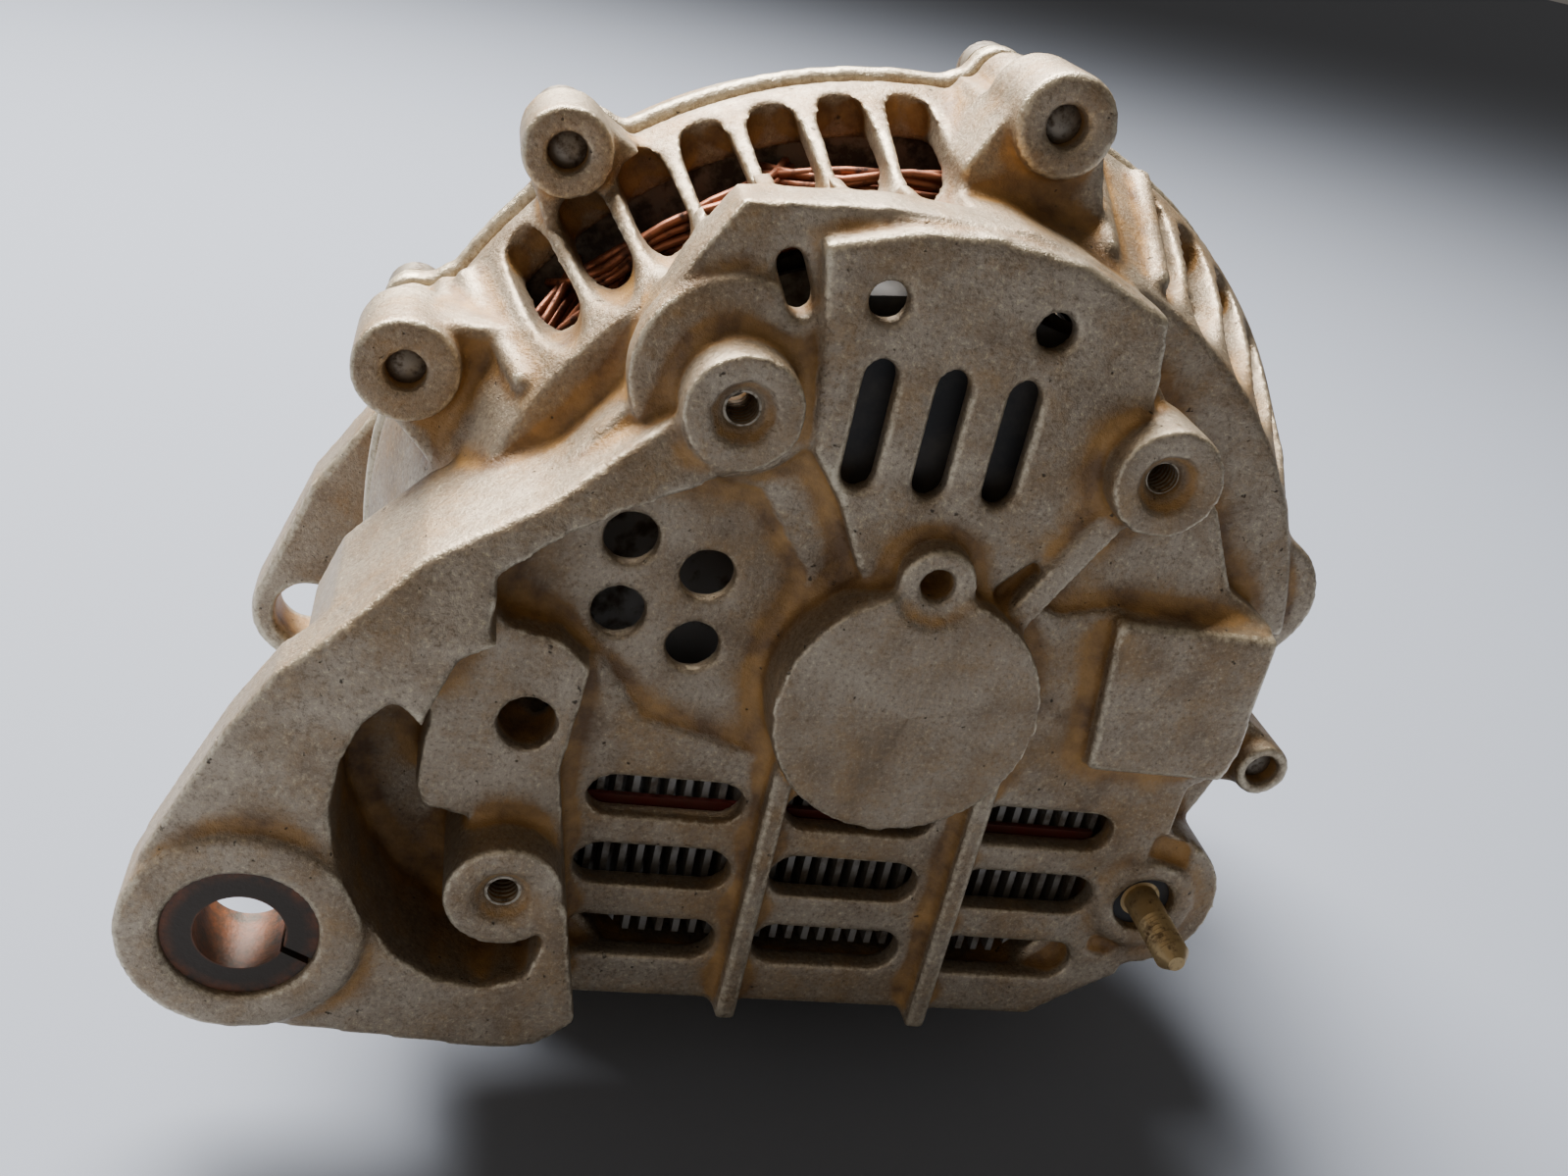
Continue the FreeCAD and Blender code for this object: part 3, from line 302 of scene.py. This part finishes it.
def add_rod(shape, start, end, radius):
    """A rod with round ends, added to a bmesh."""
    along = end - start
    turn = along.to_track_quat("Z", "Y").to_matrix().to_4x4()
    for place in (start, end):
        bmesh.ops.create_icosphere(shape, subdivisions=3, radius=radius,
                                   matrix=Matrix.Translation(place) @ turn)
    bmesh.ops.create_cone(shape, cap_ends=True, segments=24, radius1=radius, radius2=radius,
                          depth=along.length,
                          matrix=Matrix.Translation((start + end) / 2) @ turn)


def cut_in_slabs(skin, node, count):
    """The skin as a few pieces along the shaft, shaded as if they were still one."""
    normals = read(skin.vertices, "normal", 3)
    depths = read(skin.polygons, "center", 3)[:, 1]
    limits = numpy.quantile(depths, numpy.linspace(0, 1, count + 1))
    slab = numpy.searchsorted(limits[1:-1], depths)
    pieces = []
    for number in range(count):
        shape = bmesh.new()
        shape.from_mesh(skin)
        shape.faces.ensure_lookup_table()
        tag = shape.verts.layers.int.new("whole")
        for vert in shape.verts:
            vert[tag] = vert.index
        others = [shape.faces[index] for index in numpy.flatnonzero(slab != number)]
        bmesh.ops.delete(shape, geom=others, context="FACES")
        mesh = bpy.data.meshes.new("%s_casting_%d" % (node, number))
        shape.to_mesh(mesh)
        shape.free()
        kept = numpy.empty(len(mesh.vertices), dtype=int)
        mesh.attributes["whole"].data.foreach_get("value", kept)
        mesh.attributes.remove(mesh.attributes["whole"])
        mesh.normals_split_custom_set_from_vertices(normals[kept])
        pieces.append(new_piece(mesh.name, mesh))
    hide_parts(node)
    return pieces


def casting(node, voxel, count, ribs=()):
    """A bracket with cast fillets: joined with its ribs, remeshed, filled and cut in slabs."""
    shape = bmesh.new()
    shape.from_mesh(nodes[node].data)
    bmesh.ops.remove_doubles(shape, verts=shape.verts, dist=SAME_POINT)
    for start, end, radius in ribs:
        add_rod(shape, start, end, radius)
    mesh = bpy.data.meshes.new(node + "_blank")
    shape.to_mesh(mesh)
    shape.free()
    skin = settled(mesh, ("REMESH", {"mode": "VOXEL", "voxel_size": voxel}))
    fill_corners(skin, voxel)
    skin = settled(skin, ("SMOOTH", {"factor": 0.5, "iterations": 7}))
    skin.polygons.foreach_set("use_smooth", [True] * len(skin.polygons))
    mark_relief(skin)
    print(node, len(skin.polygons), "faces in", count, "pieces")
    return cut_in_slabs(skin, node, count)


# %% [markdown]
# The skin itself is matt with a fine sandy grain. Its colour is mixed in layers: two greys that
# drift into each other, tan grime where the attributes and slow clouds agree, small dark pits, and
# bright flecks on the edges, part wear and part painted highlight. Grime is not metal, so it takes
# the metallic value down with it.

# %% Cast skin material
def noise(material, point, size, detail=3.0, roughness=0.6):
    """A cloud pattern whose lumps are this many millimetres wide."""
    return add(material, "ShaderNodeTexNoise", {
        "Vector": point, "Scale": per_mm(size), "Detail": detail,
        "Roughness": roughness}).outputs["Fac"]


def stretch(material, source, low, high, to_low=0.0, to_high=1.0):
    """A value from low to high spread over another range, and held at its ends."""
    return add(material, "ShaderNodeMapRange", {
        "Value": source, "From Min": low, "From Max": high, "To Min": to_low,
        "To Max": to_high}).outputs["Result"]


def mixed(material, amount, first, second):
    """Two colours, mixed; a colour is sRGB hex or a socket."""
    first, second = (linear(c) if isinstance(c, str) else c for c in (first, second))
    return add(material, "ShaderNodeMix", {0: amount, 6: first, 7: second},
               data_type="RGBA").outputs[2]


def calculated(material, operation, *values):
    """The result of one sum on values or sockets."""
    return add(material, "ShaderNodeMath", dict(enumerate(values)), operation=operation).outputs[0]


def bumped(material, height, depth, strength=1.0, under=None, invert=False):
    """Relief of the given depth in mm, on top of another relief."""
    inputs = {"Height": height, "Strength": strength, "Distance": depth * MM}
    if under is not None:
        inputs["Normal"] = under
    return add(material, "ShaderNodeBump", inputs, invert=invert).outputs["Normal"]


def cast_aluminium(name, clean, shade, dirt, dark_dirt):
    """Matt cast skin with grime in its hollows, pits, and rubbed edges with painted glints on them.
    """
    material, shader, point = start_material(name, 0.55, 0.5)
    hollow, recess, edge = (add(material, "ShaderNodeAttribute", attribute_name=field).outputs["Fac"]
                            for field in ("hollow", "recess", "edge"))
    cloud = noise(material, point, 12.0, 5.0, 0.62)
    grit = noise(material, point, 0.9, 4.0, 0.75)
    tone = mixed(material, stretch(material, cloud, 0.35, 0.65), clean, shade)
    sand = noise(material, point, 0.6, 4.0, 0.75)
    tone = mixed(material, stretch(material, sand, 0.52, 0.7, 0.0, 0.7), tone, "5A4A35")
    tone = mixed(material, stretch(material, sand, 0.45, 0.28, 0.0, 0.75), tone, "D6C6A2")
    # grime: hollows and clouds together, broken up by the grit
    deep = calculated(material, "MULTIPLY_ADD", hollow, 0.45, recess)
    chosen = calculated(material, "MULTIPLY_ADD", cloud, 1.6, -0.8)
    rough = calculated(material, "MULTIPLY_ADD", grit, 1.0, -0.5)
    amount = calculated(material, "ADD", calculated(material, "ADD", deep, chosen), rough)
    grime = stretch(material, amount, -0.15, 0.75, 0.0, 0.92)
    brown = mixed(material, stretch(material, noise(material, point, 5.0, 4.0), 0.35, 0.65),
                  dirt, dark_dirt)
    stained = mixed(material, grime, tone, brown)
    pit = stretch(material, noise(material, point, 1.3, 2.0, 0.55), 0.71, 0.76, 0.0, 0.8)
    pitted = mixed(material, pit, stained, "2E2820")
    # edge flecks: real rubbed wear, with painted highlight, glints of light painted into the colour
    # as pale flecks
    worn_and_glinting_edge = calculated(material, "MULTIPLY", edge, grit)
    wear_and_glint_flecks = stretch(material, worn_and_glinting_edge, 0.3, 0.52, 0.0, 0.8)
    join(material, mixed(material, wear_and_glint_flecks, pitted, "D8CBAF"), shader.inputs["Base Color"])
    join(material, stretch(material, grime, 0.0, 0.9, 0.78, 0.15), shader.inputs["Metallic"])
    join(material, stretch(material, wear_and_glint_flecks, 0.0, 0.85, 0.47, 0.28), shader.inputs["Roughness"])
    # relief: a slow waviness, sandy grain on it, and the pits sunk in
    wave = bumped(material, cloud, 0.6, 0.4)
    grain = bumped(material, sand, 0.2, 0.75, wave)
    crust = bumped(material, calculated(material, "MULTIPLY", grit, grime), 0.3, 0.6, grain)
    join(material, bumped(material, pit, 0.25, 0.7, crust, invert=True), shader.inputs["Normal"])
    return material


bracket_skin = cast_aluminium("die_cast_aluminium", "A99B87", "8C7E6A", "AE8449", "6A4C2A")

# %% [markdown]
# The rear bracket is the one that is looked at, so its skin is the finer. Three ribs run up the
# slope of its drum, and one crosses the panel by the left ear. A skin is cut in slabs along the
# shaft, which keeps each piece light, and the slabs keep the normals of the whole, so no seam shows.

# %% Brackets
REAR_VOXEL, FRONT_VOXEL = 0.62 * MM, 1.0 * MM

ribs = [(on_drum(57.5, turn, 20.0), on_drum(66.0, turn, 42.0), 1.6 * MM)
        for turn in (66.0, 74.0, 150.0)]
ribs += [(on_drum(47.0, 141.0, 16.5), on_drum(61.0, 152.0, 30.0), 1.7 * MM)]
rear_casting = casting("rear_bracket", REAR_VOXEL, 4, ribs)
front_casting = casting("front_bracket", FRONT_VOXEL, 1)
for piece in rear_casting + front_casting:
    piece.data.materials.append(bracket_skin)

# %% [markdown]
# ## Wound copper
#
# Behind the windows lie the coil heads. Each coil leaves a slot, runs round the end of the stator
# past three teeth and goes back in. The wires are drawn as paths with a round section, eight to a
# coil and each a little out of place. The varnish on them is clear in some places, dark in others.

# %% Metal and wire materials
def metal(name, clean, stain, roughness, metallic=0.9, size=4.0, least=0.5, grain=0.1):
    """A metal with a stain in patches and a fine grain."""
    material, shader, point = start_material(name, roughness, metallic)
    patch = noise(material, point, size, 5.0, 0.65)
    amount = stretch(material, patch, least, least + 0.16)
    join(material, mixed(material, amount, clean, stain), shader.inputs["Base Color"])
    join(material, stretch(material, amount, 0.0, 1.0, metallic, metallic * 0.35),
         shader.inputs["Metallic"])
    join(material, stretch(material, amount, 0.0, 1.0, roughness, 0.8), shader.inputs["Roughness"])
    join(material, bumped(material, noise(material, point, grain * 4), grain, 0.5),
         shader.inputs["Normal"])
    return material


wire_paint = metal("varnished_copper", "9C6248", "3A2118", 0.4, 0.7, 2.2, 0.5, 0.05)


# %% [markdown]
# Each wire keeps its own radius. It rises quickly from the stator, runs nearly level at its own
# height, sways a little and dips back in, and the coils start ten degrees apart.

# %% Coil heads
COILS, COIL_WIRES, COIL_STEPS = 36, 8, 16
COIL_PITCH, COIL_SPAN = 10.0, 34.0
WIRE_RADIUS = 0.62 * MM
COIL_INNER, COIL_BULGE = 50.0, 1.6


def coil_head(node, outward):
    """The wires of one end of the stator; outward is +1 or -1 along the shaft."""
    low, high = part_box(node)
    inner, outer = COIL_INNER, high.x / MM + COIL_BULGE
    foot, top = ((low.y, high.y) if outward > 0 else (high.y, low.y))
    foot, top = foot / MM, top / MM
    chance = random.Random(7)
    shape = bpy.data.curves.new(node + "_wires", "CURVE")
    shape.dimensions = "3D"
    shape.bevel_depth = WIRE_RADIUS
    shape.bevel_resolution = 1
    for coil in range(COILS):
        layer = coil % 3
        for wire in range(COIL_WIRES):
            radius = inner + (outer - inner) * (layer * 3 + wire % 3 + chance.uniform(0, 0.6)) / 9
            height = 0.9 - 0.13 * (wire // 3) - 0.04 * layer + chance.uniform(-0.03, 0.03)
            begin = coil * COIL_PITCH + chance.uniform(-1.0, 1.0)
            path = shape.splines.new("POLY")
            path.points.add(COIL_STEPS)
            for step, point in enumerate(path.points):
                share = step / COIL_STEPS
                rise = min(1.0, 4.2 * min(share, 1.0 - share)) ** 0.6
                depth = foot + (top - foot) * height * rise
                turn = begin + COIL_SPAN * share
                sway = 0.35 * math.sin(share * 12.0 + wire)
                point.co = (*on_drum(radius + sway, turn, depth), 1.0)
    curve = bpy.data.objects.new("workpiece", shape)
    bpy.context.scene.collection.objects.link(curve)
    graph = bpy.context.evaluated_depsgraph_get()
    mesh = bpy.data.meshes.new_from_object(curve.evaluated_get(graph), depsgraph=graph)
    bpy.data.objects.remove(curve)
    mesh.polygons.foreach_set("use_smooth", [True] * len(mesh.polygons))
    mesh.materials.append(wire_paint)
    piece = new_piece(node + "_wires", mesh)
    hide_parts(node)
    print(piece.name, len(mesh.polygons), "faces")


coil_head("stator_coil_rear", -1)
coil_head("stator_coil_front", 1)

# %% [markdown]
# ## Threads
#
# A thread is a profile that goes in and out as it runs along. Turned about its axis it gives rings
# instead of a helix, which look the same at this size. The terminal stud gets an outer thread,
# and the cover bosses get an inner one.

# %% Turned threads
def turned_piece(name, profile, across, up, paint, segments=48):
    """A closed (radius, depth) profile in mm turned about an axis along Y at (across, up)."""
    shape = bmesh.new()
    points = [shape.verts.new((radius * MM, depth * MM, 0.0)) for radius, depth in profile]
    edges = [shape.edges.new(pair) for pair in zip(points, points[1:] + points[:1])]
    bmesh.ops.spin(shape, geom=points + edges, cent=(0, 0, 0), axis=(0, 1, 0),
                   angle=math.tau, steps=segments, use_merge=True)
    bmesh.ops.remove_doubles(shape, verts=shape.verts, dist=0.0005 * MM)
    bmesh.ops.recalc_face_normals(shape, faces=shape.faces)
    bmesh.ops.translate(shape, verts=shape.verts, vec=(across * MM, 0, up * MM))
    mesh = bpy.data.meshes.new(name)
    shape.to_mesh(mesh)
    shape.free()
    mesh.materials.append(paint)
    mesh.shade_smooth()
    mesh.set_sharp_from_angle(angle=math.radians(35))
    return new_piece(name, mesh)


def zigzag(crest, root, start, end, pitch):
    """Thread points between two depths, from crest to root and back."""
    turns = int((end - start) / pitch)
    return [pair for turn in range(turns)
            for pair in ((crest, start + turn * pitch), (root, start + (turn + 0.5) * pitch))]


THREAD_PITCH = 0.8
STUD_CREST, STUD_ROOT, SHANK = 2.36, 2.0, 2.86
TAP_CREST, TAP_ROOT, TAP_WALL = 1.85, 2.14, 2.2
# tapped holes of the rear bracket: across, up and the depth of the face, in mm
TAPPED_HOLES = {
    "boss_a": (-27.5, 35.6, 1.0),
    "boss_b": (23.1, 34.2, 1.4),
    "boss_c": (-45.1, -28.0, -3.3),
}

stud_paint = metal("brassed_steel", "B89E70", "6E5638", 0.42, 0.6, 1.5, 0.52, 0.05)
thread_paint = metal("threaded_hole", "A09684", "4B3E2E", 0.4, 0.85, 1.2, 0.5, 0.05)
stud_profile = [(0.0, -4.85), (1.15, -4.85)]
stud_profile += zigzag(STUD_CREST, STUD_ROOT, -3.2, 4.4, THREAD_PITCH)
stud_profile += [(STUD_CREST, 4.6), (STUD_CREST, 8.8), (SHANK, 8.85), (SHANK, 26.9), (0.0, 26.9)]
stud_low, stud_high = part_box("b_terminal_stud")
stud_middle = (stud_low + stud_high) / 2 / MM
stud = turned_piece("b_terminal_threads", stud_profile, stud_middle.x, stud_middle.z, stud_paint)
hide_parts("b_terminal_stud")
for label, (across, up, face) in TAPPED_HOLES.items():
    thread = zigzag(TAP_CREST, TAP_ROOT, face + 1.0, face + 9.0, THREAD_PITCH)
    thread += [(TAP_WALL, face + 9.0), (TAP_WALL, face + 1.0)]
    sleeve = turned_piece(label + "_thread", thread, across, up, thread_paint, 32)

# %% [markdown]
# Five bolts hold the two brackets together. Their ends sit a little way down the holes of the rear
# ears, so each bolt is turned again, with its thread. The heads stay on the front ears, and they
# come out round, because they are turned as well.

# %% Through bolts
bolt_paint = metal("bolt_steel", "8A8275", "4A3B2A", 0.45, 0.8, 2.0, 0.47, 0.05)
BOLT_CREST, BOLT_ROOT, BOLT_HEAD = 2.4, 2.1, 3.9
HEAD_START, HEAD_END = 53.0, 56.1
# the ears: radius, angle and the depth of the rear face
EARS = ((70.8, 132.2, 34.0), (68.5, 157.5, 24.0), (68.5, 84.2, 20.0), (68.5, 345.0, 24.0),
        (68.5, 235.0, 24.0))
for number, (radius, degrees, face) in enumerate(EARS):
    middle = on_drum(radius, degrees, 0.0) / MM
    profile = [(0.0, face + 2.2), (1.5, face + 2.2)]
    profile += zigzag(BOLT_CREST, BOLT_ROOT, face + 2.8, face + 9, THREAD_PITCH)
    profile += [(BOLT_CREST, face + 9.2), (BOLT_CREST, HEAD_START), (BOLT_HEAD, HEAD_START),
                (BOLT_HEAD, HEAD_END), (0.0, HEAD_END)]
    bolt = turned_piece("through_bolt_%d" % number, profile, middle.x, middle.z, bolt_paint, 24)
    if number == 0:
        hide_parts("through_bolts")
print(len(EARS), "bolts")

# %% [markdown]
# ## All other parts
#
# The parts that keep their solid shape only need a surface. Steel is stained, resin is matt and
# black, the rectifier fins are dull grey. The bush of the pivot foot has rusted: its rust is held
# to the outer edge and the bore by the distance from the bush's own axis.

# %% Resin, rust and the list of parts
def resin(name, base, dust):
    """A moulded plastic under a thin cloud of dust."""
    material, shader, point = start_material(name, 0.55, 0.0)
    cloud = stretch(material, noise(material, point, 6.0, 5.0), 0.42, 0.7, 0.0, 0.6)
    join(material, mixed(material, cloud, base, dust), shader.inputs["Base Color"])
    join(material, bumped(material, noise(material, point, 0.4), 0.05, 0.4),
         shader.inputs["Normal"])
    return material


def rusted_bush(name, across, up):
    """Dark steel that has rusted on its outer rim and in its bore; its axis is given in mm."""
    material, shader, point = start_material(name, 0.55, 0.3)
    place = add(material, "ShaderNodeSeparateXYZ", {0: point})
    gone = [calculated(material, "SUBTRACT", place.outputs[axis], centre * MM)
            for axis, centre in (("X", across), ("Z", up))]
    squares = calculated(material, "ADD", calculated(material, "MULTIPLY", gone[0], gone[0]),
                         calculated(material, "MULTIPLY", gone[1], gone[1]))
    distance = calculated(material, "POWER", squares, 0.5)
    rim = stretch(material, distance, 7.2 * MM, 8.6 * MM)
    bore = stretch(material, distance, 5.5 * MM, 5.3 * MM)
    both = calculated(material, "MAXIMUM", rim, bore)
    patch = stretch(material, noise(material, point, 3.0, 5.0, 0.7), 0.35, 0.65)
    amount = calculated(material, "MULTIPLY", both, patch)
    rust = mixed(material, noise(material, point, 0.8, 4.0), "8A4A18", "2E1B0E")
    join(material, mixed(material, amount, "3A332B", rust), shader.inputs["Base Color"])
    join(material, stretch(material, amount, 0.0, 1.0, 0.4, 0.0), shader.inputs["Metallic"])
    join(material, bumped(material, noise(material, point, 0.6), 0.12, 0.6),
         shader.inputs["Normal"])
    return material


bush_low, bush_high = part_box("pivot_bush")
bush_middle = (bush_low + bush_high) / 2 / MM
paints = {
    "cast_aluminium": bracket_skin,
    "lamination_steel": metal("laminations", "6E675E", "3A3128", 0.55, 0.8, 3.0, 0.45, 0.1),
    "enamelled_copper": wire_paint,
    "zinc_steel": metal("zinc_steel", "8F8A7E", "5E5140", 0.5, 0.8, 3.0, 0.48, 0.06),
    "ground_steel": metal("ground_steel", "A3A19C", "6B6153", 0.3, 0.95, 5.0, 0.55, 0.03),
    "black_resin": resin("black_resin", "1B1A19", "4A4238"),
    "copper": metal("bare_copper", "B87048", "5A3826", 0.35, 0.9, 3.0, 0.5, 0.04),
    "forged_steel": metal("forged_steel", "5C574F", "3C2C20", 0.55, 0.8, 4.0, 0.46, 0.12),
    "nylon": resin("nylon", "9A907A", "6E6048"),
    "stamped_steel": metal("stamped_steel", "85817A", "57493A", 0.45, 0.85, 5.0, 0.5, 0.05),
    "pulley_steel": metal("pulley_steel", "37373A", "5A4A3A", 0.45, 0.6, 5.0, 0.52, 0.05),
    "bearing_steel": metal("bearing_steel", "B4B3B0", "7C7260", 0.22, 0.95, 5.0, 0.58, 0.02),
    "carbon_graphite": resin("carbon_graphite", "222120", "34312D"),
    "spring_steel": metal("spring_steel", "A09D95", "6B6254", 0.35, 0.9, 2.0, 0.55, 0.03),
    "sheet_aluminium": metal("sheet_aluminium", "8B8780", "5A5044", 0.5, 0.7, 4.0, 0.48, 0.05),
    "red_resin": resin("red_resin", "5E1A12", "4A3A2C"),
    "brassed_steel": stud_paint,
    "bush_steel": rusted_bush("rusted_bush", bush_middle.x, bush_middle.z),
}
parts = {
    "cast_aluminium": ["rear_bracket", "front_bracket"],
    "lamination_steel": ["stator_core"],
    "enamelled_copper": ["stator_coil_rear", "stator_coil_front", "field_coil"],
    "zinc_steel": ["through_bolts", "pulley_washer", "pulley_nut", "rectifier_diodes",
        "retainer_screws"],
    "ground_steel": ["rotor_shaft", "pulley_spacer"],
    "black_resin": ["slip_ring_sleeve", "brush_holder", "voltage_regulator",
        "b_terminal_insulator", "connector_housing"],
    "copper": ["slip_ring_rear", "slip_ring_front", "b_terminal_strap", "connector_pins"],
    "forged_steel": ["claw_pole_rear", "claw_pole_front"],
    "nylon": ["field_bobbin", "rear_bearing_cage", "front_bearing_cage"],
    "stamped_steel": ["rear_fan", "front_fan", "bearing_retainer"],
    "pulley_steel": ["pulley"],
    "bearing_steel": ["rear_bearing_outer_race", "rear_bearing_inner_race",
        "rear_bearing_balls", "front_bearing_outer_race", "front_bearing_inner_race",
        "front_bearing_balls"],
    "carbon_graphite": ["brush_a", "brush_b"],
    "spring_steel": ["brush_spring_a", "brush_spring_b"],
    "sheet_aluminium": ["positive_heat_sink", "negative_heat_sink"],
    "red_resin": ["terminal_board", "insulating_strip"],
    "brassed_steel": ["b_terminal_stud"],
    "bush_steel": ["pivot_bush"],
}
for slot, names in parts.items():
    for name in names:
        data = nodes[name].data
        data.materials.clear()
        data.materials.append(paints[slot])
print(sum(len(names) for names in parts.values()), "parts painted in", len(paints), "finishes")

# %% [markdown]
# ## Brush springs
#
# A brush can ride up by 6 mm, but the springs here keep their shape and don't shorten. Each spring
# is rebuilt as a mesh of its own, with its doubled points merged, smooth shading and spring steel,
# and it rides on the housing in place of the solid part.

# %% Brush springs as meshes of their own
for letter, joint in (("a", "rear_brush_slide"), ("b", "front_brush_slide")):
    node = "brush_spring_" + letter
    shape = bmesh.new()
    shape.from_mesh(nodes[node].data)
    bmesh.ops.remove_doubles(shape, verts=shape.verts, dist=SAME_POINT)
    mesh = bpy.data.meshes.new(node + "_wire")
    shape.to_mesh(mesh)
    shape.free()
    mesh.shade_smooth()
    mesh.materials.clear()
    mesh.materials.append(paints["spring_steel"])
    spring = new_piece(node + "_wire", mesh)
    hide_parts(node)
    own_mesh(spring)
